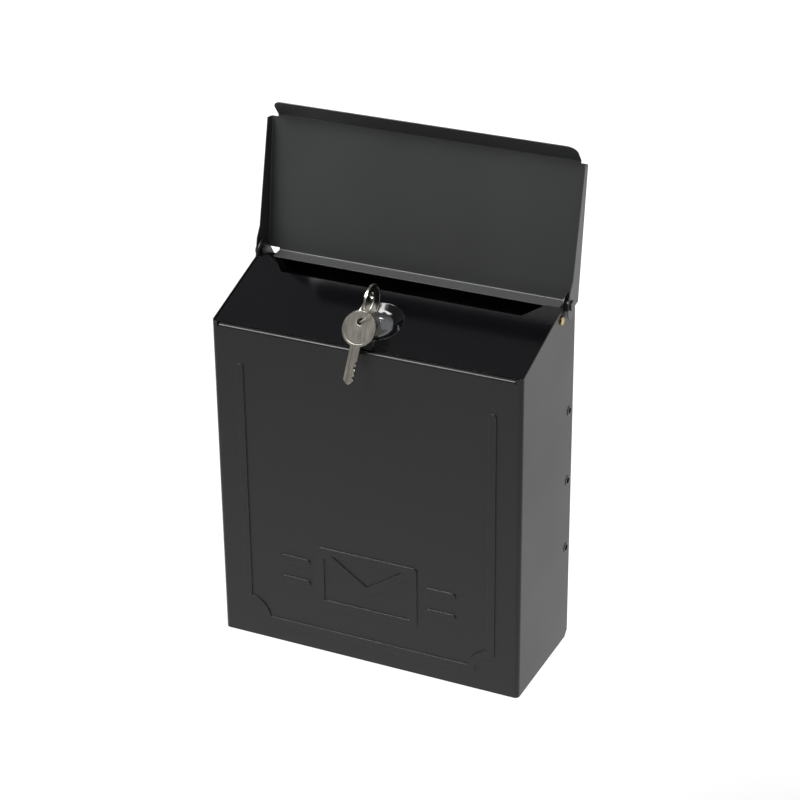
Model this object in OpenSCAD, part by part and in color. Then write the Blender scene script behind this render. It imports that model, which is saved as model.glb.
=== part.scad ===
/* [Body] */
// Width across the body's side walls
body_w = 250; // [180:1:340]
// Depth from the front face to the wall
body_d = 100; // [86:1:140]
// Height of the side walls at the front face
front_h = 266.5; // [220:1:340]
// Thickness of all the bent sheet
sheet = 0.8; // [0.6:0.1:1.2]
// Outer radius of the body's upright corners
corner_r = 3.5; // [2:0.5:8]
// Slope of the top and of the locking door, in degrees
slope = 18.5; // [12:0.5:24]
// Depth of the chamfer at the lower rear corners of the sides
heel = 4.5; // [2:0.5:10]

/* [Front bead] */
// Distance from the side of the body to the bead's centre line
bead_inset = 22.5; // [15:0.5:40]
// Height of the bead's bottom run above the bottom edge
bead_low = 17; // [12:0.5:40]
// Height of the top ends of the upright beads
bead_top = 233; // [150:1:250]
// Width of the bead
bead_w = 6; // [4:0.5:9]
// How far the bead stands out of the front face
bead_h = 1; // [0.6:0.1:1.6]
// Radius of the scooped lower corners
scoop_r = 16; // [10:1:26]
// Width of the raised envelope
mark_w = 78; // [50:1:90]
// Height of the raised envelope
mark_h = 46; // [30:1:80]
// Height of the envelope's lower edge above the bottom
mark_low = 44; // [34:1:90]
// Length of the two bars on each side of the envelope
mark_bar = 20; // [8:1:24]

/* [Locking door] */
// Drop from the side walls' sloping edge to the door
door_drop = 0.9; // [0.5:0.1:3]
// Gap between the door and each side wall
door_gap = 0.6; // [0.4:0.1:1.5]
// Distance along the slope from the front edge to the door pivot
door_pivot_s = 74.5; // [66:0.5:78]
// Depth of the door pivot under the door's top face
door_pivot_n = 6.7; // [5:0.1:9]
// Length of door behind its pivot
door_tail = 6.1; // [4:0.1:8]
// Depth of the door's side flanges
door_flange = 11; // [10:0.5:16]
// Radius of the door rivets' shanks
door_pin_r = 2; // [1.5:0.1:2.5]
// Width of the mail slot at its front edge
slot_w = 196; // [120:1:214]
// Extra width of the mail slot at the door's rear edge
slot_flare = 28; // [0:1:30]
// Depth of the mail slot cut into the door
slot_d = 15.4; // [8:0.1:20]

/* [Lid] */
// Gap between the body's sides and the lid's ears
ear_gap = 2.5; // [1.5:0.1:5]
// Length of the lid from its rear bend to its front fold
lid_len = 107.2; // [95:0.1:150]
// Direction of the open lid above the horizontal, in degrees
lid_open = 82.5; // [78:0.5:89]
// Radius of the lid rivets' shanks
lid_pin_r = 2.5; // [2:0.1:3]
// Distance of the lid pivot in front of the wall
lid_pivot_back = 16.5; // [15:0.5:22]
// Height of the lid pivot above the side walls' front height
lid_pivot_up = 24.5; // [22:0.5:30]
// Distance from the lid pivot back to the lid's panel
lid_set_back = 14.6; // [13:0.1:16]
// Distance from the lid pivot down to the lid's rear bend
lid_set_down = 5; // [4:0.1:6]
// Length of the finger lip along the lid's front
lip_len = 16.3; // [10:0.1:20]
// Length of the lid's rear flange
rear_flange = 12.5; // [8:0.1:13]
// Depth of the lid's side flanges at the front
lid_flange = 7.6; // [6:0.1:10]

/* [Lock] */
// Sideways offset of the lock from the middle
lock_x = -3.5; // [-10:0.5:10]
// Distance along the slope from the front edge to the lock
lock_s = 31.9; // [31:0.1:36]
// Radius of the pressed dish at the door's face
dish_r = 20.8; // [20:0.1:22]
// Depth of the pressed dish
dish_depth = 4.5; // [3:0.1:5]
// Radius of the lock's flange
bezel_r = 13; // [12:0.1:14]
// Thickness of the lock's flange
bezel_t = 2; // [1.5:0.1:3]
// Radius of the lock's threaded barrel
barrel_r = 9.5; // [9:0.1:10]
// Distance across the barrel's two flats
barrel_flats = 16; // [15:0.1:17.5]
// Length of the barrel behind its flange
barrel_len = 22; // [20:0.5:25]
// Radius of the lock's plug
plug_r = 7; // [6.6:0.1:7.2]
// Length of the cam from the lock's axis to its tip
cam_len = 38; // [34:0.5:40]
// Width of the cam
cam_w = 14; // [10:0.5:18]

/* [Keys] */
// Radius of a key's bow
bow_r = 13.2; // [11:0.1:14]
// Thickness of a key
key_t = 1.8; // [1.5:0.1:2]
// Length of a key
key_len = 54; // [50:0.5:56]
// Width of a key's blade
blade_w = 8; // [7:0.1:8.4]
// Radius of the hole in a key's bow
bow_hole_r = 2.9; // [2.8:0.1:3.2]
// Height of the inserted key's bow centre above the door
bow_up = 20; // [18:0.5:22]
// Mean radius of the key ring
ring_r = 10.8; // [10.6:0.1:11]
// Radius of the key ring's wire
wire_r = 0.65; // [0.4:0.05:0.7]
// Angle of the spare key from the vertical, in degrees
spare_lean = 30; // [26:0.5:40]

/* [Mounting] */
// Spacing of the mounting holes across the back
hole_span_x = 160; // [80:1:200]
// Spacing of the mounting holes up the back
hole_span_z = 190; // [100:1:200]
// Radius of the mounting holes
hole_r = 3; // [2:0.1:4]
// Height of the hole pattern's centre above the bottom edge
hole_mid = 145; // [120:1:160]
// Radius of the hollow rivets in the sides
eyelet_r = 3; // [2:0.1:4]
// Distance of the hollow rivets in front of the wall
eyelet_back = 7; // [6:0.5:10]

/* [Hidden] */
$fn = 64;
far = 600;                       // longer than the whole object
over = 1;                        // how far a cutter reaches past what it cuts
fit = 0.05;                      // radial clearance of a running fit
join = 0.02;                     // overlap that joins touching shapes of one sheet
touch = 0.1;                     // gap between sheets that slide over each other
half_w = body_w / 2;
inner_w = half_w - sheet;        // inside face of a side wall
bend_r = 2;                      // outer radius of the tight bends
black = [0.05, 0.05, 0.055];
nickel = [0.72, 0.70, 0.66];
chrome = [0.8, 0.81, 0.82];
brass = [0.72, 0.55, 0.25];

// Door plane: a line through (0, door_z) that climbs towards the wall at the slope
door_z = front_h - door_drop;
door_rear_s = door_pivot_s + door_tail;
door_half = inner_w - door_gap;
door_front_s = bend_r + 0.6;             // front edge of the door
door_side_s = [9, 12];                   // where the side flanges start, at the face and below it
door_side_rise = 3;                      // how much shallower the flanges are at that start
dish_clear = 1.6;                        // between the dish and the flange under the door's front
flange_rear_s = lock_s - dish_r - dish_clear;
front_half = half_w - 6;                 // half width of the body's top front flange
head_out = 1.4;                          // how far a rivet's head reaches past its shank
rivet_t = 1.2;                           // thickness of a rivet's head
bend_z = door_z - (sheet + touch) / cos(slope) + bend_r * tan(slope) - bend_r / cos(slope);

lid_pivot = [body_d - lid_pivot_back, front_h + lid_pivot_up];
envelope_dip = 0.42;                     // height of the flap's point as a share of the envelope
bar_rise = [0.3, 0.7];                   // heights of the two bars as shares of the envelope
lobe_r = 9;                              // rounded top of a side wall around the lid pivot
lobe_end = 40;                           // angle where the lobe runs into the rear slope
back_top = lid_pivot[1] - 8.5;           // top of the back panel and of the sides' rear edge
ear_in = half_w + ear_gap;
ear_out = ear_in + sheet;
lid_origin = [lid_pivot[0] + lid_set_back, lid_pivot[1] - lid_set_down];
// Lid pivot measured along the panel and square to it, from the lid's rear bend
ear_p = lid_set_down * sin(lid_open) - lid_set_back * cos(lid_open);
ear_q = lid_set_back * sin(lid_open) + lid_set_down * cos(lid_open);
ear_r = 6.5;
ear_tail = 4.7;                          // how far the ear's round end lies past the pivot
ear_sag = 0.8;                           // how far that end lies nearer the panel than the pivot
ear_taper = [1.8, 2];                    // how far the ear's front and rear edges draw in
flange_turn = [22, 13];                  // along the panel, where the side flange deepens into the ear
flange_step = 8;                         // extra depth of the flange where it starts to deepen
panel_start = [3, 1];                    // along the panel, where the side starts at its face and ear
lid_head_t = 1.4;
lid_tail_t = 1;                          // thickness of the lid rivets' inner heads, and their reach
lip_r = 8;                               // radius of the lip's free corners
spacer_wall = 2.5;
lip_angle = 45;
rear_angle = 102;
lip_half = half_w - 2.5;
rear_half = half_w - 7;

back_flange = 13;                        // depth of the back panel's side flanges
back_relief = 1;                         // gap between those flanges and the floor's
back_trim = 2;                           // how far they stop below the panel's top
floor_flange = 12;                       // height of the floor's upturned flanges
floor_gap = 2;                           // between the floor's flanges and the walls round it
floor_rear = 1;                          // between the floor's rear flange and the back panel
drain = [0.4, 0.32];                     // places of the drain holes as shares of the floor's size
eyelet_z = [82.4, 141, 200.3];
eyelet_wall = 0.5;
eyelet_head = 0.9;                       // how far a hollow rivet's rims reach past its shank
eyelet_rim = [0.4, 0.6];                 // thickness of the rims outside and inside
floor_lift = 1;                          // height of the floor above the bottom edge

floor_n = -dish_depth;                   // face of the dish's floor in the lock's frame
face_n = floor_n + bezel_t;              // front face of the lock
bezel_edge = 0.8;                        // chamfer round the lock's flange
plug_sink = 0.3;                         // how far the plug lies under the flange's face
washer_t = 0.8;
washer_out = 0.5;                        // how far the washer reaches past the lock's flange
nut_t = 4;
nut_flats = 24;
barrel_end = floor_n - barrel_len;
stop_t = 1;
cam_t = 1.6;
tail_w = 6.4;
cam_top = barrel_end - touch - stop_t;
tail_end = cam_top - cam_t;
key_slot = [key_t + 0.4, blade_w + 0.6];
slot_floor = 2;                          // metal left below the key slot
wafer = [1.08 * plug_r, 1.54 * plug_r, 1];
wafer_first = 4;                         // from the dish's floor to the first wafer
wafer_pitch = 3.4;
wafer_play = 0.5;                        // around the blade in a wafer's window
wafer_n = [for (i = [0:3]) floor_n - wafer_first - wafer_pitch * i];
cam_tip_r = 3;
cam_hub_out = 1;                         // how far the cam's round hub stands out past its arm
screw_r = 1.5;
screw_head_r = 3.6;
screw_head_t = 2.2;
screw_len = 5;
cross_slot = [4, 0.8, 1.2];              // length, width and depth of the slots in its head
dish_floor_r = bezel_r + 1;
dish_lip = 1.2;                          // flat ring round the dish, part of the door's face
dish_draw = sheet / 3;                   // how far the dish's underside draws in

hole_up = 5.3;                           // key hole above the bow's centre
bow_rim = 1.7;                           // raised rim round a key's bow
bow_sink = 0.25;
blade_len = key_len - 2 * bow_r;
blade_root = 2;                          // how far the blade runs into the bow
blade_tip = 3;                           // slant of the blade's point
cut_first = 3.5;                         // from the point to the first cut
cut_pitch = 3.6;
cut_steps = [1, 2.2, 3.2];               // where a cut's floor starts, ends and is back at the edge
cut_deep = [1.6, 0.8, 2, 1.2];
groove = [1.4, 0.5];                     // width and depth of the groove along the blade
groove_x = -1.6;
ring_way = [0.70, -0.44, 0.563];         // direction across the ring's slant
ring_a = [lock_x, lock_s, bow_up + hole_up];     // hole of the inserted key, in the door's frame
spare_drop = [-0.3, -20.4, -7.2];                // from that hole to the spare key's hole
strike_half = 14;
strike_depth = 9;
strike_leg = 14;
strike_t = 1.2;
strike_gap = 0.4;                        // between the ledge and the cam

// ---- placing helpers ----

// Puts the bottom-edge frame into the mounting-hole frame
module place() translate([0, 0, -hole_mid]) children();

// Draws a (distance from the front, height) outline and extrudes it across the width
module across(x0, x1) translate([x0, -body_d, 0]) rotate([90, 0, 90]) linear_extrude(x1 - x0) children();

// Door frame: X across, Y up the slope from the front edge, Z out of the door's top face
module door_frame() place() translate([0, -body_d, door_z]) rotate([slope, 0, 0]) children();

module lock_frame() door_frame() translate([lock_x, lock_s, 0]) children();

// Lid frame: X across, Y from the rear bend to the front fold, Z from the outer face inwards
module lid_frame() place() translate([0, lid_origin[0] - body_d, lid_origin[1]]) rotate([lid_open, 0, 0])
  children();

// Extrudes a (Y, Z) outline across the width inside a frame
module span(x0, x1) translate([x0, 0, 0]) rotate([90, 0, 90]) linear_extrude(x1 - x0) children();

module both_sides() for (m = [0, 1]) mirror([m, 0, 0]) children();

// Cylinder along X
module rod_x(x0, x1, r) translate([x0, 0, 0]) rotate([0, 90, 0]) cylinder(h = x1 - x0, r = r);

module ring_sector(ro, ri, a0, a1) intersection() {
  difference() { circle(ro); circle(ri); }
  polygon([[0, 0], for (i = [0:4]) let (a = a0 + (a1 - a0) * i / 4) 2 * ro * [cos(a), sin(a)]]);
}

// Straight bar with round ends, centred on a line
module stroke(a, b, w) {
  d = b - a;
  translate(a) rotate(atan2(d[1], d[0])) translate([0, -w / 2]) square([norm(d), w]);
  for (p = [a, b]) translate(p) circle(w / 2);
}

// ---- body ----

module wrap_plan() difference() {
  union() {
    translate([-half_w, corner_r]) square([body_w, body_d - corner_r]);
    translate([corner_r - half_w, 0]) square([body_w - 2 * corner_r, corner_r]);
    for (s = [-1, 1]) translate([s * (half_w - corner_r), corner_r]) circle(corner_r);
  }
  translate([-inner_w, corner_r]) square([2 * inner_w, body_d]);
  translate([corner_r - half_w, sheet]) square([body_w - 2 * corner_r, corner_r]);
  for (s = [-1, 1]) translate([s * (half_w - corner_r), corner_r]) circle(corner_r - sheet);
}

// Side wall with its sloping top, the lobe round the lid pivot and the chamfered heel
module side_outline() {
  lobe = lid_pivot + lobe_r * [cos(lobe_end), sin(lobe_end)];
  run = lid_pivot[0] - lobe_r + over;
  polygon([[0, 0], [0, front_h], [run, front_h + run * tan(slope)], lid_pivot, lobe,
           [body_d, back_top], [body_d, heel], [body_d - heel, 0]]);
  translate(lid_pivot) circle(lobe_r);
}

// Bead with scooped lower corners, and the raised envelope with two bars on each side
module front_mark(w) {
  x = half_w - bead_inset;
  for (s = [-1, 1]) {
    stroke([s * x, bead_low + scoop_r], [s * x, bead_top], w);
    translate([s * x, bead_low])
      ring_sector(scoop_r + w / 2, scoop_r - w / 2, s > 0 ? 90 : 0, s > 0 ? 180 : 90);
  }
  stroke([scoop_r - x, bead_low], [x - scoop_r, bead_low], w);
  top = mark_low + mark_h;
  m = mark_w / 2;
  stroke([-m, mark_low], [m, mark_low], w);
  stroke([-m, top], [m, top], w);
  for (s = [-1, 1]) {
    stroke([s * m, mark_low], [s * m, top], w);
    stroke([s * m, top], [0, mark_low + envelope_dip * mark_h], w);
    for (h = bar_rise) stroke([s * (m + 2 * bead_w), mark_low + h * mark_h],
                              [s * (m + 2 * bead_w + mark_bar), mark_low + h * mark_h], w);
  }
}

// Bend at the top of the front and the flange that the door's front rests over
module front_bend() translate([bend_r, bend_z]) {
  ring_sector(bend_r, bend_r - sheet, 90 + slope, 180);
  translate([-bend_r, -over]) square([sheet, over + join]);
  rotate(slope) translate([-join, bend_r - sheet])
    square([flange_rear_s - bend_r * (cos(slope) + sin(slope)), sheet]);
}

module body_shell() color(black) place() difference() {
  union() {
    intersection() {
      translate([0, -body_d, 0]) linear_extrude(far) wrap_plan();
      difference() {
        across(-half_w, half_w) side_outline();
        translate([-front_half - over, -body_d - over, bend_z])
          cube([2 * (front_half + over), over + corner_r, far]);
      }
    }
    across(-front_half, front_half) front_bend();
    translate([0, sheet / 2 - body_d, 0]) rotate([90, 0, 0]) linear_extrude(bead_h + sheet / 2)
      front_mark(bead_w);
  }
  translate([0, sheet - body_d + over, 0]) rotate([90, 0, 0]) linear_extrude(bead_h + over)
    front_mark(bead_w - 2 * sheet);
  side_holes();
}

// Holes of the hollow rivets, the door rivets and the lid rivets through both side walls
module side_holes() {
  for (z = eyelet_z) translate([0, -eyelet_back, z]) rod_x(-far, far, eyelet_r);
  translate([0, lid_pivot[0] - body_d, lid_pivot[1]]) rod_x(-far, far, lid_pin_r);
  translate([0, -body_d, door_z]) rotate([slope, 0, 0]) translate([0, door_pivot_s, -door_pivot_n])
    rod_x(-far, far, door_pin_r);
}

module back_panel() color(black) place() difference() {
  union() {
    translate([-inner_w, -sheet, floor_lift]) cube([2 * inner_w, sheet, back_top - floor_lift]);
    foot = floor_lift + floor_flange + back_relief;
    both_sides() translate([inner_w - sheet, -back_flange, foot])
      cube([sheet, back_flange, back_top - back_trim - foot]);
  }
  for (z = eyelet_z) translate([0, -eyelet_back, z]) rod_x(-far, far, eyelet_r);
  for (x = [-1, 1], z = [-1, 1])
    translate([x * hole_span_x / 2, over, hole_mid + z * hole_span_z / 2]) rotate([90, 0, 0])
      cylinder(h = sheet + 2 * over, r = hole_r);
}

// Floor tray with four upturned flanges and drain holes
module bottom_panel() color(black) place() difference() {
  w = 2 * (inner_w - floor_gap);
  d = body_d - 2 * sheet - floor_gap - floor_rear;
  translate([-w / 2, sheet - body_d + floor_gap, floor_lift]) cube([w, d, floor_flange]);
  translate([sheet - w / 2, 2 * sheet - body_d + floor_gap, floor_lift + sheet])
    cube([w - 2 * sheet, d - 2 * sheet, floor_flange]);
  for (x = [-1, 1], y = [-1, 1]) translate([x * w * drain[0], y * d * drain[1] - body_d / 2, 0])
    cylinder(h = floor_lift + 2 * sheet, r = hole_r);
}

// Hollow rivets that hold the back panel's flanges to the side walls
module side_eyelets() color(black) place() both_sides() for (z = eyelet_z)
  translate([0, -eyelet_back, z]) difference() {
    union() {
      rod_x(inner_w - sheet - eyelet_rim[1], half_w + eyelet_rim[0], eyelet_r);
      rod_x(half_w, half_w + eyelet_rim[0], eyelet_r + eyelet_head);
      rod_x(inner_w - sheet - eyelet_rim[1], inner_w - sheet, eyelet_r + eyelet_head);
    }
    rod_x(inner_w - sheet - 2 * over, half_w + 2 * over, eyelet_r - eyelet_wall);
  }

// A point of the door's frame, as a distance from the front and a height
function on_door(s, n) = [s * cos(slope) - n * sin(slope), door_z + s * sin(slope) + n * cos(slope)];

// Distance up the slope where the level n is a given distance behind the front
function slope_at(y, n) = (y + n * sin(slope)) / cos(slope);

// Angle piece inside the front panel: its sloping ledge is what the cam turns under
module strike_plate() color(black) place() {
  low = cam_top + strike_gap;
  high = low + strike_t;
  tip = slope_at(sheet, low) + strike_depth;
  foot = on_door(slope_at(sheet, low), low);
  across(lock_x - strike_half, lock_x + strike_half)
    polygon([foot, on_door(tip, low), on_door(tip, high), on_door(slope_at(sheet + strike_t, high), high),
             foot + [strike_t, strike_leg], foot + [0, strike_leg]]);
}

// ---- locking door ----

module dish_profile() polygon([
  [dish_r + dish_lip, 0], [dish_r, 0], [dish_floor_r, floor_n], [0, floor_n], [0, floor_n - sheet],
  [dish_floor_r - dish_draw, floor_n - sheet], [dish_r - dish_draw, -sheet], [dish_r + dish_lip, -sheet]]);

module barrel_plan(r, flats) intersection() { circle(r); square([2 * r, flats], center = true); }

module door() color(black) difference() {
  door_frame() {
    difference() {
      translate([-door_half, door_front_s, -sheet]) cube([2 * door_half, door_rear_s - door_front_s, sheet]);
      translate([0, 0, -far / 2]) linear_extrude(far) slot_outline();
      translate([lock_x, lock_s, -over - sheet]) cylinder(h = sheet + 2 * over, r = dish_r + dish_lip - join);
    }
    translate([lock_x, lock_s, 0]) rotate_extrude() dish_profile();
    both_sides() difference() {
      span(door_half - sheet, door_half) door_side();
      translate([0, door_pivot_s, -door_pivot_n])
        rod_x(door_half - sheet - over, door_half + over, door_pin_r + fit);
    }
  }
  lock_frame() translate([0, 0, floor_n - sheet - over]) linear_extrude(sheet + 2 * over)
    barrel_plan(barrel_r + fit, barrel_flats + 2 * fit);
}

// Mail slot cut into the door's rear edge
module slot_outline() polygon([
  [-slot_w / 2, door_rear_s - slot_d], [slot_w / 2, door_rear_s - slot_d],
  [(slot_w + slot_flare) / 2, door_rear_s + over], [-(slot_w + slot_flare) / 2, door_rear_s + over]]);

// Side flange of the door, rounded round its pivot
module door_side() {
  polygon([[door_side_s[0], 0], [door_side_s[1], door_side_rise - door_flange],
           [door_pivot_s - door_tail, -door_flange], [door_pivot_s, -door_flange],
           [door_pivot_s, -door_pivot_n], [door_rear_s - over, -door_pivot_n], [door_rear_s - over, 0]]);
  translate([door_pivot_s, -door_pivot_n]) circle(door_flange - door_pivot_n);
}

module door_rivets() color(brass) door_frame() both_sides() translate([0, door_pivot_s, -door_pivot_n]) {
  rod_x(door_half - sheet - rivet_t, half_w + rivet_t, door_pin_r);
  rod_x(half_w, half_w + rivet_t, door_pin_r + head_out);
  rod_x(door_half - sheet - rivet_t, door_half - sheet - fit, door_pin_r + head_out);
}

// ---- lid ----

module lid_u_plan() difference() {
  lid_block(ear_out, bend_r);
  lid_block(ear_in, bend_r - sheet);
}

// Rounded half of a box section, from the panel inwards
module lid_block(w, r) {
  lift = bend_r - r;
  translate([-w, bend_r]) square([2 * w, far / 4]);
  translate([r - w, lift]) square([2 * (w - r), r + join]);
  for (s = [-1, 1]) translate([s * (w - r), bend_r]) circle(r);
}

// Panel edge, side flange and ear in the lid's own frame
module lid_side() {
  tip = [ear_p - ear_tail, ear_q - ear_sag];
  polygon([[panel_start[0], -over], [lid_len - bend_r, -over], [lid_len - bend_r, lid_flange],
           [flange_turn[0], lid_flange + flange_step],
           [flange_turn[1], ear_q + ear_r - ear_taper[0]], tip + [0, ear_r], tip - [0, ear_r],
           [panel_start[1], ear_q - ear_r - ear_taper[1]]]);
  translate(tip) circle(ear_r);
}

module lid() color(black) difference() {
  lid_frame() {
    intersection() {
      rotate([-90, 0, 0]) mirror([0, 1, 0]) translate([0, 0, -far / 4]) linear_extrude(far / 2) lid_u_plan();
      span(-ear_out - over, ear_out + over) lid_side();
    }
    // Rear bend and flange
    span(-rear_half, rear_half) {
      translate([bend_r, bend_r]) {
        ring_sector(bend_r, bend_r - sheet, 90 + rear_angle, 270);
        translate([-join, -bend_r]) square([bend_r, sheet]);
        rotate(rear_angle) translate([-join, bend_r - sheet]) square([rear_flange - bend_r + join, sheet]);
      }
    }
    // Front fold and finger lip
    fold_p = lid_len - bend_r * tan(lip_angle / 2);
    span(-lip_half, lip_half) translate([fold_p, bend_r]) {
      ring_sector(bend_r, bend_r - sheet, 270, 270 + lip_angle);
      translate([-bend_r, -bend_r]) square([bend_r, sheet]);
    }
    translate([0, fold_p, bend_r]) rotate([lip_angle, 0, 0]) translate([0, 0, -bend_r])
      linear_extrude(sheet) lip_plan();
  }
  place() translate([0, lid_pivot[0] - body_d, lid_pivot[1]]) rod_x(-far, far, lid_pin_r + fit);
}

// Finger lip with rounded free corners
module lip_plan() {
  translate([-lip_half, 0]) square([2 * lip_half, lip_len - lip_r]);
  translate([lip_r - lip_half, 0]) square([2 * (lip_half - lip_r), lip_len]);
  for (s = [-1, 1]) translate([s * (lip_half - lip_r), lip_len - lip_r]) circle(lip_r);
}

// Puts a piece drawn round the lid's axis on each side
module at_lid_pivot() place() both_sides() translate([0, lid_pivot[0] - body_d, lid_pivot[1]]) children();

module lid_rivets() color(black) at_lid_pivot() {
  rod_x(inner_w - lid_tail_t, ear_out + lid_head_t, lid_pin_r);
  rod_x(ear_out + fit, ear_out + lid_head_t, lid_pin_r + head_out);
  rod_x(inner_w - lid_tail_t, inner_w, lid_pin_r + lid_tail_t);
}

module lid_spacers() color(black) at_lid_pivot() difference() {
  rod_x(half_w, ear_in - fit, lid_pin_r + spacer_wall);
  rod_x(half_w - over, ear_in + over, lid_pin_r);
}

// ---- lock ----

module lock_body() color(chrome) lock_frame() difference() {
  union() {
    rotate_extrude() polygon([[0, floor_n], [bezel_r, floor_n], [bezel_r, face_n - bezel_edge],
                              [bezel_r - bezel_edge, face_n], [0, face_n]]);
    translate([0, 0, barrel_end]) linear_extrude(barrel_len + bezel_t / 2)
      barrel_plan(barrel_r, barrel_flats);
  }
  translate([0, 0, barrel_end - over]) cylinder(h = far, r = plug_r);
}

module lock_washer() color(nickel) lock_frame() translate([0, 0, floor_n - sheet - washer_t]) difference() {
  cylinder(h = washer_t, r = bezel_r + washer_out);
  translate([0, 0, -over]) cylinder(h = washer_t + 2 * over, r = barrel_r);
}

module lock_nut() color(nickel) lock_frame() translate([0, 0, floor_n - sheet - washer_t - nut_t])
  difference() {
  cylinder(h = nut_t, r = nut_flats / 2 / cos(30), $fn = 6);
  translate([0, 0, -over]) cylinder(h = nut_t + 2 * over, r = barrel_r);
}

module lock_plug() color(chrome) lock_frame() difference() {
  union() {
    translate([0, 0, barrel_end - touch])
      cylinder(h = face_n - plug_sink - barrel_end + touch, r = plug_r - fit);
    translate([-tail_w / 2, -tail_w / 2, tail_end]) cube([tail_w, tail_w, stop_t + cam_t + over]);
  }
  translate([-key_slot[0] / 2, -key_slot[1] / 2, barrel_end + slot_floor])
    cube([key_slot[0], key_slot[1], far]);
  for (n = wafer_n) translate([0, 0, n])
    cube([wafer[0] + 2 * fit, wafer[1] + 2 * fit, wafer[2] + 2 * fit], center = true);
  translate([0, 0, tail_end - over]) cylinder(h = screw_len + over, r = screw_r);
}

// Flat tumblers, each with a window that the key's blade passes through
module lock_wafers() color(brass) lock_frame() for (n = wafer_n) translate([0, 0, n]) difference() {
  cube(wafer, center = true);
  cube([key_t + 2 * wafer_play, blade_w + 2 * wafer_play, 2 * wafer[2]], center = true);
}

module stop_washer() color(nickel) lock_frame() translate([0, 0, cam_top]) difference() {
  cylinder(h = stop_t, r = barrel_r);
  translate([0, 0, stop_t / 2]) cube([tail_w, tail_w, 3 * stop_t], center = true);
}

// Flat cam, drawn unlocked: it points sideways, and a quarter turn brings it under the strike plate
module lock_cam() color(nickel) lock_frame() translate([0, 0, cam_top - cam_t]) difference() {
  union() {
    cylinder(h = cam_t, r = cam_w / 2 + cam_hub_out);
    translate([0, -cam_w / 2, 0]) cube([cam_len - cam_tip_r, cam_w, cam_t]);
    translate([cam_len - cam_tip_r - over, cam_tip_r - cam_w / 2, 0])
      cube([cam_tip_r + over, cam_w - 2 * cam_tip_r, cam_t]);
    for (s = [-1, 1]) translate([cam_len - cam_tip_r, s * (cam_w / 2 - cam_tip_r), 0])
      cylinder(h = cam_t, r = cam_tip_r);
  }
  translate([0, 0, cam_t / 2]) cube([tail_w, tail_w, 2 * cam_t], center = true);
}

module cam_screw() color(nickel) lock_frame() {
  translate([0, 0, tail_end - join]) cylinder(h = screw_len, r = screw_r);
  translate([0, 0, tail_end - screw_head_t]) difference() {
    cylinder(h = screw_head_t, r = screw_head_r);
    for (a = [0, 90]) rotate(a) translate([-cross_slot[0] / 2, -cross_slot[1] / 2, -over])
      cube([cross_slot[0], cross_slot[1], over + cross_slot[2]]);
  }
}

// ---- keys ----

// Key in the XY plane with its bow hole at the origin and its blade towards -Y
module key_blank() difference() {
  translate([0, 0, -key_t / 2]) linear_extrude(key_t) difference() {
    union() {
      translate([0, -hole_up]) circle(bow_r);
      translate([0, -hole_up - bow_r]) blade_plan();
    }
    circle(bow_hole_r);
  }
  translate([groove_x, -hole_up - bow_r - blade_len - over, key_t / 2 - groove[1]])
    cube([groove[0], blade_len + over, 2 * groove[1]]);
  for (m = [0, 1]) mirror([0, 0, m]) translate([0, -hole_up, key_t / 2 - bow_sink])
    cylinder(h = over, r = bow_r - bow_rim);
}

// Blade with a pointed tip and cuts along one edge
module blade_plan() {
  h = blade_w / 2;
  polygon([[-h, blade_root], [-h, blade_tip - blade_len], [blade_tip - h, -blade_len],
           [h - blade_tip, -blade_len], [h, blade_tip - blade_len],
           for (i = [0:len(cut_deep) - 1]) let (y = cut_first + cut_pitch * i - blade_len)
             each [[h, y], [h - cut_deep[i], y + cut_steps[0]], [h - cut_deep[i], y + cut_steps[1]],
                   [h, y + cut_steps[2]]],
           [h, blade_root]]);
}

// Inserted key: its bow stands fore and aft
module lock_key() color(nickel) door_frame() translate(ring_a) rotate([90, 0, 90]) key_blank();

// Spare key: hangs from the ring and leans forward over the front edge
module spare_key() color(nickel) door_frame() translate(ring_a + spare_drop)
  rotate([90 - slope - spare_lean, 0, 0]) key_blank();

// Wire ring through both bow holes
module key_ring() color(nickel) door_frame() translate(ring_a + spare_drop / 2) ring_turn()
  rotate_extrude() translate([ring_r, 0]) circle(wire_r, $fn = 24);

// Turns the ring so that it passes through both bows at a slant
module ring_turn() {
  e = spare_drop / norm(spare_drop);
  w1 = [ring_way[0], ring_way[1] * cos(slope) + ring_way[2] * sin(slope),
        ring_way[2] * cos(slope) - ring_way[1] * sin(slope)];
  w2 = w1 - (w1 * e) * e;
  w = w2 / norm(w2);
  n = cross(e, w);
  multmatrix([[e[0], w[0], n[0], 0], [e[1], w[1], n[1], 0], [e[2], w[2], n[2], 0], [0, 0, 0, 1]]) children();
}

body_shell();
back_panel();
bottom_panel();
side_eyelets();
strike_plate();
door();
door_rivets();
lid();
lid_rivets();
lid_spacers();
lock_body();
lock_washer();
lock_nut();
lock_plug();
lock_wafers();
stop_washer();
lock_cam();
cam_screw();
lock_key();
key_ring();
spare_key();
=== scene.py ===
import math
import bpy
import bmesh
from mathutils import Matrix, Vector


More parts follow.
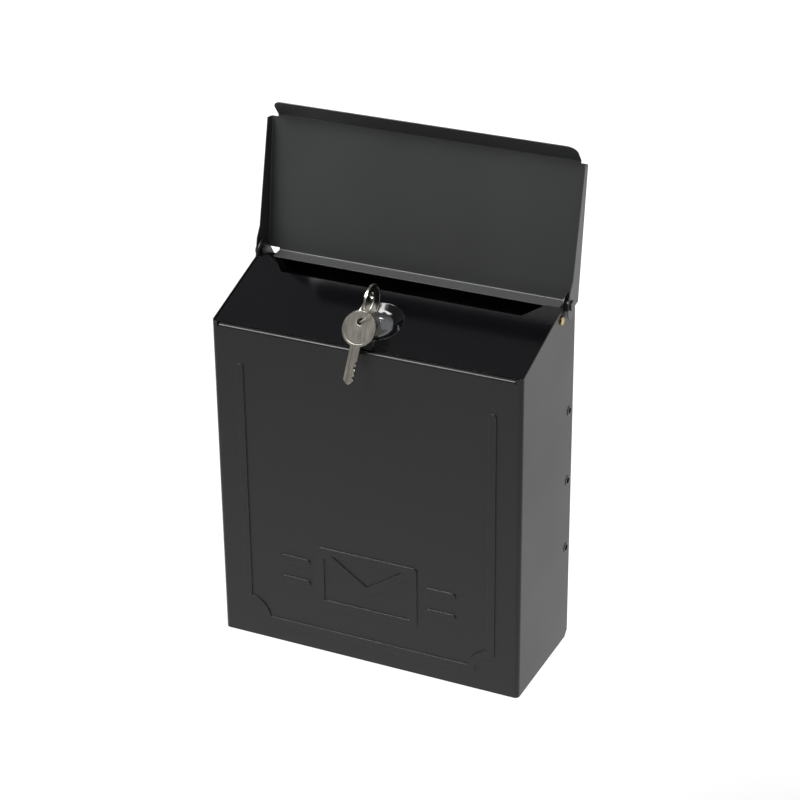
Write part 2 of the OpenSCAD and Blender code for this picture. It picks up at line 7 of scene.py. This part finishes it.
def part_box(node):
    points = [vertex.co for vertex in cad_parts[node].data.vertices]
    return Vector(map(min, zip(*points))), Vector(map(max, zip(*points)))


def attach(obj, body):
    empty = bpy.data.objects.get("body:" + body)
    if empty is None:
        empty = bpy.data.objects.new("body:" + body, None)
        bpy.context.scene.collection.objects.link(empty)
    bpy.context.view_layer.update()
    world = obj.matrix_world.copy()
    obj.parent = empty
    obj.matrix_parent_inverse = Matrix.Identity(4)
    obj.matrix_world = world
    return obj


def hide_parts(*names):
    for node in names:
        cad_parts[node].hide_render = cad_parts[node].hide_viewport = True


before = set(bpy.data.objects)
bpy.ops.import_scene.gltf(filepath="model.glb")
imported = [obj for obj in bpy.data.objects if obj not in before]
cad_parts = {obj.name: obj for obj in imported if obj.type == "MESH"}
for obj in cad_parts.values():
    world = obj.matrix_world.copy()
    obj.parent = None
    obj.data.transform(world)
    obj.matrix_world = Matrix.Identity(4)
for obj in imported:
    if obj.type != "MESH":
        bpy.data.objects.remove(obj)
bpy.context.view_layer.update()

# ---------------------------------------------------------------------------
# Body shell
# One sheet of 0.8 mm steel bent round three sides. The bead and the envelope
# are pressed out of the front, and the whole is powder coated semi-gloss black.
# ---------------------------------------------------------------------------
MM = 0.001
SHEET = 0.8 * MM
COAT_BLACK = (0.0062, 0.0062, 0.0064, 1)
COAT_THIN = (0.030, 0.031, 0.033, 1)
COAT_LIFT = 1.15                        # how much lighter the coat's lighter clouds are
DUST_GREY = (0.22, 0.22, 0.21, 1)
CLOUD_WAVES = 9                         # waves per metre of the coat's patterns, coarse to fine
WORN_WAVES = 160
PEEL_WAVES = 620
DUST_WAVES = 1500
FLOOR_GAP = 2 * MM                      # between the floor's flange and the front sheet
FRONT_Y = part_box("bottom_panel")[0].y - FLOOR_GAP - SHEET
WELD = 0.004 * MM                       # points nearer than this are one point
SLIVER = 0.002 * MM                     # edges shorter than this are dropped
FLAT = math.radians(0.6)                # faces that meet at less than this are one flat area
CORNER = 50                             # degrees between faces from which an edge is a corner
SMOOTH_REACH = math.radians(38)         # faces that meet at less than this shade as one surface
ROUND_REACH = 1.5 * SMOOTH_REACH
NO_ANGLE = 4                            # stands for the angle to a face without a direction


def bare_copy(node):
    """A merged copy of a CAD node's mesh, flat areas joined up, as a bmesh."""
    work = bmesh.new()
    work.from_mesh(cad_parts[node].data)
    bmesh.ops.remove_doubles(work, verts=work.verts, dist=WELD)
    bmesh.ops.dissolve_degenerate(work, edges=work.edges, dist=SLIVER)
    bmesh.ops.dissolve_limit(work, angle_limit=FLAT, verts=work.verts, edges=work.edges)
    return work


def round_edges(work, radius, segments, chosen, sharp=34):
    """Rounds the chosen sharp edges, and marks the new faces for the thin coat on them."""
    wear = work.faces.layers.float.get("edge_wear") or work.faces.layers.float.new("edge_wear")
    rounded = work.faces.layers.int.get("rounded") or work.faces.layers.int.new("rounded")
    edges = [e for e in work.edges
             if len(e.link_faces) == 2 and e.calc_face_angle(0) > math.radians(sharp) and chosen(e)]
    made = bmesh.ops.bevel(work, geom=edges, offset=radius, offset_type="OFFSET", segments=segments,
                           profile=0.5, affect="EDGES", clamp_overlap=True)
    for face in made["faces"]:
        face[rounded] = 1
        face[wear] = 1.0


def corner_normals(work):
    """Flat sheet shades flat up to its rounded edges, which turn smoothly from side to side."""
    work.normal_update()
    rounded = work.faces.layers.int.get("rounded")
    areas = [face.calc_area() for face in work.faces]
    normals = []
    for face in work.faces:
        for vert in face.verts:
            around = [f for f in vert.link_faces if f.normal.length > 0.5]
            plain = [f for f in around if not (rounded and f[rounded])]
            if rounded and face[rounded] and plain:
                lead = min(plain, key=lambda f: f.normal.angle(face.normal, NO_ANGLE))
                near = [f for f in plain if f.normal.angle(lead.normal, NO_ANGLE) < SMOOTH_REACH]
            elif rounded and face[rounded]:
                near = [f for f in around if f.normal.angle(face.normal, NO_ANGLE) < ROUND_REACH]
            else:
                near = [f for f in plain if f.normal.angle(face.normal, NO_ANGLE) < SMOOTH_REACH]
            total = Vector()
            for other in near:
                total += other.normal * areas[other.index]
            normals.append(total.normalized() if total.length > 1e-15 else face.normal.copy())
    return normals


def finish_piece(work, node, name, body, material):
    """Turns a bmesh into the piece that stands for a CAD node."""
    bmesh.ops.triangulate(work, faces=[f for f in work.faces if len(f.verts) > 4])
    work.faces.index_update()
    normals = corner_normals(work)
    mesh = bpy.data.meshes.new(name)
    work.to_mesh(mesh)
    work.free()
    mesh.shade_smooth()
    mesh.normals_split_custom_set([tuple(n) for n in normals])
    mesh.materials.append(material)
    piece = bpy.data.objects.new(name, mesh)
    bpy.context.collection.objects.link(piece)
    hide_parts(node)
    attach(piece, body)
    return piece


def new_tree(name):
    material = bpy.data.materials.new(name)
    material.use_nodes = True
    tree = material.node_tree
    shader = tree.nodes["Principled BSDF"]
    where = tree.nodes.new("ShaderNodeTexCoord")
    return material, tree, shader, where.outputs["Object"]


def grain(tree, where, scale, detail=2.0, roughness=0.5, stretch=None):
    """A noise pattern; scale is in waves per metre, stretch slows it along an axis."""
    noise = tree.nodes.new("ShaderNodeTexNoise")
    noise.inputs["Scale"].default_value = scale
    noise.inputs["Detail"].default_value = detail
    noise.inputs["Roughness"].default_value = roughness
    if stretch:
        turn = tree.nodes.new("ShaderNodeMapping")
        turn.inputs["Scale"].default_value = stretch
        tree.links.new(where, turn.inputs["Vector"])
        where = turn.outputs["Vector"]
    tree.links.new(where, noise.inputs["Vector"])
    return noise.outputs["Fac"]


def between(tree, value, low, high, out_low=0.0, out_high=1.0):
    """Maps a range of a pattern onto another range."""
    spread = tree.nodes.new("ShaderNodeMapRange")
    for socket, number in (("From Min", low), ("From Max", high),
                           ("To Min", out_low), ("To Max", out_high)):
        spread.inputs[socket].default_value = number
    tree.links.new(value, spread.inputs["Value"])
    return spread.outputs["Result"]


def mix_colour(tree, factor, first, second):
    blend = tree.nodes.new("ShaderNodeMix")
    blend.data_type = "RGBA"
    tree.links.new(factor, blend.inputs["Factor"])
    for socket, colour in ((blend.inputs[6], first), (blend.inputs[7], second)):
        if isinstance(colour, tuple):
            socket.default_value = colour
        else:
            tree.links.new(colour, socket)
    return blend.outputs[2]


def bump(tree, height, depth):
    node = tree.nodes.new("ShaderNodeBump")
    node.inputs["Distance"].default_value = depth
    node.inputs["Strength"].default_value = 1.0
    tree.links.new(height, node.inputs["Height"])
    return node.outputs["Normal"]


def powder_coat(name, black, gloss_low, gloss_high, peel, dust=0.35):
    """Powder coat: orange peel, slightly uneven gloss, thin coat on the edges, a little dust."""
    material, tree, shader, where = new_tree(name)
    cloud = grain(tree, where, CLOUD_WAVES, 2)
    fine = grain(tree, where, PEEL_WAVES, 2)
    edge = tree.nodes.new("ShaderNodeAttribute")
    edge.attribute_name = "edge_wear"
    worn = tree.nodes.new("ShaderNodeMath")
    worn.operation = "MULTIPLY"
    tree.links.new(edge.outputs["Fac"], worn.inputs[0])
    tree.links.new(between(tree, grain(tree, where, WORN_WAVES, 3), 0.35, 0.7), worn.inputs[1])
    lifted = tuple(c * COAT_LIFT for c in black[:3]) + (1,)
    body = mix_colour(tree, between(tree, cloud, 0.35, 0.7), black, lifted)
    coat = mix_colour(tree, worn.outputs[0], body, COAT_THIN)
    specks = between(tree, grain(tree, where, DUST_WAVES, 1), 0.76, 0.84, 0.0, dust)
    dusty = mix_colour(tree, specks, coat, DUST_GREY)
    tree.links.new(dusty, shader.inputs["Base Color"])
    tree.links.new(between(tree, cloud, 0.3, 0.75, gloss_low, gloss_high), shader.inputs["Roughness"])
    shader.inputs["Specular IOR Level"].default_value = 0.5
    tree.links.new(bump(tree, fine, peel), shader.inputs["Normal"])
    return material


FRONT_COAT = powder_coat("powder_coat_body", COAT_BLACK, 0.34, 0.40, 0.003 * MM)
BEAD_ROUND = 0.5 * MM
EDGE_ROUND = 0.2 * MM
FACE_SLACK = 0.05 * MM                  # how exactly a point lies in the front face
WALL_START = 0.5 * MM                   # behind the front face, where the side walls count as begun
PRESSING_LOW = -135 * MM                # the pressings lie above this height
PRESSING_HALF = 115 * MM                # and within this distance of the middle

shell = bare_copy("body_shell")


def on_pressing(edge):
    """True for the edges of the bead and the envelope, at their crests and at their feet."""
    if any(v.co.y >= FRONT_Y + FACE_SLACK or v.co.z <= PRESSING_LOW for v in edge.verts):
        return False
    return (min(v.co.y for v in edge.verts) < FRONT_Y - FACE_SLACK
            or max(abs(v.co.x) for v in edge.verts) < PRESSING_HALF)


round_edges(shell, BEAD_ROUND, 4, on_pressing)
round_edges(shell, EDGE_ROUND, 2, lambda e: min(v.co.y for v in e.verts) > FRONT_Y + WALL_START, CORNER)
finish_piece(shell, "body_shell", "shell", "box", FRONT_COAT)

# ---------------------------------------------------------------------------
# Back panel and bottom panel
# Flat steel pans with turned-up edges, coated like the shell and held to it by
# the hollow rivets. The back has the four screw holes.
# ---------------------------------------------------------------------------
PAN_COAT = powder_coat("powder_coat_pans", COAT_BLACK, 0.36, 0.46, 0.005 * MM)
for pan in ("back_panel", "bottom_panel"):
    work = bare_copy(pan)
    round_edges(work, EDGE_ROUND, 2, lambda e: True, CORNER)
    finish_piece(work, pan, pan + "_coated", "box", PAN_COAT)

# ---------------------------------------------------------------------------
# Strike plate
# A small angle of the same steel inside the front, which the cam turns under.
# ---------------------------------------------------------------------------
work = bare_copy("strike_plate")
round_edges(work, EDGE_ROUND, 2, lambda e: True, CORNER)
finish_piece(work, "strike_plate", "strike", "box", PAN_COAT)

# ---------------------------------------------------------------------------
# Locking door
# Smooth, glossy coated sheet with a pressed dish for the lock, side flanges
# and the mail slot cut into its rear edge.
# ---------------------------------------------------------------------------
DOOR_BLACK = (0.0020, 0.0020, 0.0028, 1)
DOOR_COAT = powder_coat("powder_coat_door", DOOR_BLACK, 0.10, 0.12, 0.0003 * MM, 0.1)
DISH_ROUND = 0.9 * MM
DISH_SLOPE = math.radians(33.5)
DISH_SLACK = 0.1                        # radians either side of that slope
DISH_REACH = (13.5 * MM, 25 * MM)       # the dish's edges lie between these radii
DISH_SHIFT = 3 * MM                     # from the lock's middle forward to the dish's, seen from above
DOOR_LEAN = 1.05                        # the slope's length over its plan length
DISH_CORNER = 25
work = bare_copy("door")
lock_low, lock_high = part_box("lock_body")
lock_middle = (lock_low + lock_high) / 2


def on_dish(edge):
    middle = (edge.verts[0].co + edge.verts[1].co) / 2
    away = math.hypot(middle.x - lock_middle.x, (middle.y - lock_middle.y - DISH_SHIFT) * DOOR_LEAN)
    return (DISH_REACH[0] < away < DISH_REACH[1]
            and abs(edge.calc_face_angle(0) - DISH_SLOPE) < DISH_SLACK)


round_edges(work, DISH_ROUND, 4, on_dish, DISH_CORNER)
round_edges(work, EDGE_ROUND, 2, lambda e: True, CORNER)
finish_piece(work, "door", "door_coated", "door_body", DOOR_COAT)

# ---------------------------------------------------------------------------
# Lid
# One bent sheet with ears, a rear flange and a finger lip, in the same coat as the
# body but coloured a lighter grey as painted reflection, with its corners lightly rounded.
# ---------------------------------------------------------------------------
# painted reflection: the lid's coat is lighter than the body's to stand in for the soft sheen on its
# inner face
LID_SHEEN_GREY = (0.037, 0.038, 0.038, 1)
LID_COAT = powder_coat("powder_coat_lid", LID_SHEEN_GREY, 0.30, 0.36, 0.004 * MM)
work = bare_copy("lid")
round_edges(work, EDGE_ROUND, 2, lambda e: True, CORNER)
finish_piece(work, "lid", "lid_coated", "lid_body", LID_COAT)

# ---------------------------------------------------------------------------
# Rivets and spacers
# Hollow rivets in the sides, domed lid rivets with their spacers, all blacked
# steel, and the two plain brass rivets that the door turns on.
# ---------------------------------------------------------------------------
METAL_WAVES = 90                        # waves per metre of the clouds in a metal's tone


def metal(name, colour, dark, low, high, scratch, stretch=(1, 1, 1), depth=0.004 * MM):
    """Plated or plain metal with faint clouds in its tone and fine drawn scratches."""
    material, tree, shader, where = new_tree(name)
    cloud = grain(tree, where, METAL_WAVES, 3)
    lines = grain(tree, where, scratch, 2, 0.6, stretch)
    tone = mix_colour(tree, between(tree, cloud, 0.3, 0.7), colour, dark)
    tree.links.new(tone, shader.inputs["Base Color"])
    shader.inputs["Metallic"].default_value = 1.0
    tree.links.new(between(tree, lines, 0.3, 0.7, low, high), shader.inputs["Roughness"])
    tree.links.new(bump(tree, lines, depth), shader.inputs["Normal"])
    return material


RIVET_BLACK = powder_coat("blacked_rivet", (0.012, 0.012, 0.012, 1), 0.25, 0.38, 0.006 * MM, 0.2)
BRASS = metal("satin_brass", (0.62, 0.43, 0.17, 1), (0.45, 0.30, 0.12, 1), 0.22, 0.4, 700)
for rivet, slot_name, coat, radius in (("side_eyelets", "black_rivet", RIVET_BLACK, 0.16),
                                       ("lid_rivets", "black_rivet", RIVET_BLACK, 0.35),
                                       ("lid_spacers", "black_rivet", RIVET_BLACK, 0.15),
                                       ("door_rivets", "brass", BRASS, 0.35)):
    work = bare_copy(rivet)
    round_edges(work, radius * MM, 3, lambda e: e.is_convex, CORNER)
    finish_piece(work, rivet, rivet + "_turned", "box", coat)

# ---------------------------------------------------------------------------
# Cam lock
# A chromed die-cast body through the door's dish, held by a washer and a hex
# nut. The plug carries the wafers, the stop washer and the zinc-plated cam.
# ---------------------------------------------------------------------------
CHROME = metal("lock_chrome", (0.72, 0.73, 0.75, 1), (0.60, 0.61, 0.64, 1), 0.05, 0.14, 900)
ZINC = metal("zinc_plate", (0.56, 0.57, 0.58, 1), (0.42, 0.44, 0.47, 1), 0.22, 0.38, 500)
for part, body, slot_name, coat, radius in (
        ("lock_body", "door_body", "lock_chrome", CHROME, 0.3),
        ("lock_washer", "door_body", "zinc", ZINC, 0.12),
        ("lock_nut", "door_body", "zinc", ZINC, 0.3),
        ("lock_plug", "lock_core", "lock_chrome", CHROME, 0.12),
        ("lock_wafers", "lock_core", "brass", BRASS, 0.08),
        ("stop_washer", "lock_core", "zinc", ZINC, 0.12),
        ("lock_cam", "lock_core", "zinc", ZINC, 0.25),
        ("cam_screw", "lock_core", "zinc", ZINC, 0.15)):
    work = bare_copy(part)
    round_edges(work, radius * MM, 2, lambda e: True, CORNER)
    finish_piece(work, part, part + "_plated", body, coat)

# ---------------------------------------------------------------------------
# Keys and ring
# Stamped nickel-plated keys with rounded bows and milled cuts, and a ring of
# plated spring wire through both bows.
# ---------------------------------------------------------------------------
NICKEL_LIGHT = (0.66, 0.64, 0.56, 1)
NICKEL_DARK = (0.52, 0.50, 0.43, 1)
DRAWN = (1, 0.12, 0.12)                 # the scratches run fore and aft and up and down
NICKEL = metal("key_nickel", NICKEL_LIGHT, NICKEL_DARK, 0.17, 0.26, 900, DRAWN, 0.0015 * MM)
KEY_ROUND = 0.18 * MM
for key, body in (("lock_key", "key_body"), ("spare_key", "spare_body")):
    work = bare_copy(key)
    round_edges(work, KEY_ROUND, 3, lambda e: e.is_convex, CORNER)
    finish_piece(work, key, key + "_plated", body, NICKEL)
work = bmesh.new()
work.from_mesh(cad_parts["key_ring"].data)
bmesh.ops.remove_doubles(work, verts=work.verts, dist=WELD)
finish_piece(work, "key_ring", "ring_wire", "ring_body", NICKEL)

# ---------------------------------------------------------------------------
# Studio
# A plain white floor well under the box, soft lights, and the camera.
# ---------------------------------------------------------------------------
FLOOR_Z = -0.62
FLOOR_SIZE = 30
AIR_STRENGTH = 0.18
bpy.ops.mesh.primitive_plane_add(size=FLOOR_SIZE, location=(0, 0, FLOOR_Z))
floor = bpy.context.object
floor.name = "studio_floor"
floor_paint, tree, shader, where = new_tree("floor_paper")
tree.links.new(mix_colour(tree, grain(tree, where, 3, 2), (0.86, 0.86, 0.86, 1), (0.9, 0.9, 0.9, 1)),
               shader.inputs["Base Color"])
shader.inputs["Roughness"].default_value = 0.9
shader.inputs["Specular IOR Level"].default_value = 0.1
floor.data.materials.append(floor_paint)

world = bpy.data.worlds.new("studio_air")
bpy.context.scene.world = world
world.use_nodes = True
world.node_tree.nodes["Background"].inputs["Color"].default_value = (1, 1, 1, 1)
world.node_tree.nodes["Background"].inputs["Strength"].default_value = AIR_STRENGTH


def softbox(name, place, aim, width, height, power, spread=180):
    lamp = bpy.data.lights.new(name, "AREA")
    lamp.shape = "RECTANGLE"
    lamp.size = width
    lamp.size_y = height
    lamp.energy = power
    lamp.spread = math.radians(spread)
    thing = bpy.data.objects.new(name, lamp)
    thing.location = place
    thing.rotation_euler = (Vector(aim) - Vector(place)).to_track_quat("-Z", "Y").to_euler()
    bpy.context.collection.objects.link(thing)
    return thing


softbox("key_light", place=(-0.68, -0.80, 1.60), aim=(0, -0.05, 0.1),
        width=1.1, height=0.55, power=14, spread=120)
softbox("floor_light", place=(-0.1, -1.2, 3.0), aim=(-0.1, -1.19, FLOOR_Z),
        width=3.6, height=2.6, power=52)
softbox("rear_floor_light", place=(-0.8, 3.1, 2.2), aim=(-0.8, 3.11, FLOOR_Z),
        width=4.6, height=2.6, power=155)

CAMERA_AT = Vector((687.7, -1490.0, 864.3)) * MM
CAMERA_AIM = Vector((5.75, -50.0, 59.5)) * MM
CAMERA_ROLL = math.radians(-0.6)
LENS = 107.1                            # millimetres, on a sensor this wide
SENSOR = 36
lens = bpy.data.cameras.new("camera")
lens.lens = LENS
lens.sensor_width = SENSOR
lens.clip_start = 0.05
lens.clip_end = 60
camera = bpy.data.objects.new("camera", lens)
aim = (CAMERA_AIM - CAMERA_AT).to_track_quat("-Z", "Y").to_matrix().to_4x4()
camera.matrix_world = Matrix.Translation(CAMERA_AT) @ aim @ Matrix.Rotation(CAMERA_ROLL, 4, "Z")
bpy.context.collection.objects.link(camera)
bpy.context.scene.camera = camera
bpy.context.scene.view_settings.view_transform = "Standard"
